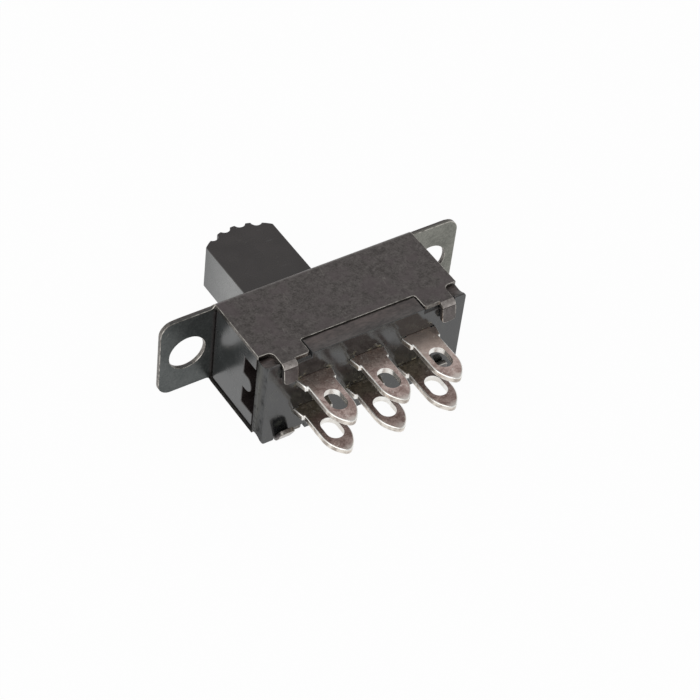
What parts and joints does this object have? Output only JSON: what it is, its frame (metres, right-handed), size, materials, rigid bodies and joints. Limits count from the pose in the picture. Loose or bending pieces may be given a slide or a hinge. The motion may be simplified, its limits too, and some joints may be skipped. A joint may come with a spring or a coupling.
{
  "type": "slide switch",
  "caption": "Panel-mount slide switch: ridged knob in a slotted folded-steel frame with two screw ears, and flat eyelet solder lugs on the back.",
  "frame": {"origin": "on the panel face, midway between the two ear holes", "axes": "+X along the switch and its travel, +Y from the panel towards the solder lugs, +Z across the switch"},
  "size_m": [0.0286, 0.0233, 0.0088],
  "materials": {
    "blackened_steel": "blackened satin sheet steel",
    "board_laminate": "glossy black laminate",
    "tinned_brass": "dull tinned, slightly tarnished",
    "slider_plastic": "charcoal satin moulding",
    "spring_bronze": "bright spring strip",
    "bright_steel": "polished"
  },
  "bodies": {
    "housing": {"frame": "blackened_steel", "terminal_board": "board_laminate", "terminal_1": "tinned_brass", "terminal_2": "tinned_brass", "terminal_3": "tinned_brass", "terminal_4": "tinned_brass", "terminal_5": "tinned_brass", "terminal_6": "tinned_brass"},
    "slide": {"slider": "slider_plastic", "contact_clip_1": "spring_bronze", "contact_clip_2": "spring_bronze", "detent_ball": "bright_steel", "detent_spring": "bright_steel"}
  },
  "joints": [
    {"name": "knob_slide", "type": "slide", "parent": "housing", "child": "slide", "axis": [-1, 0, 0], "range_m": [0, 0.0044]}
  ]
}
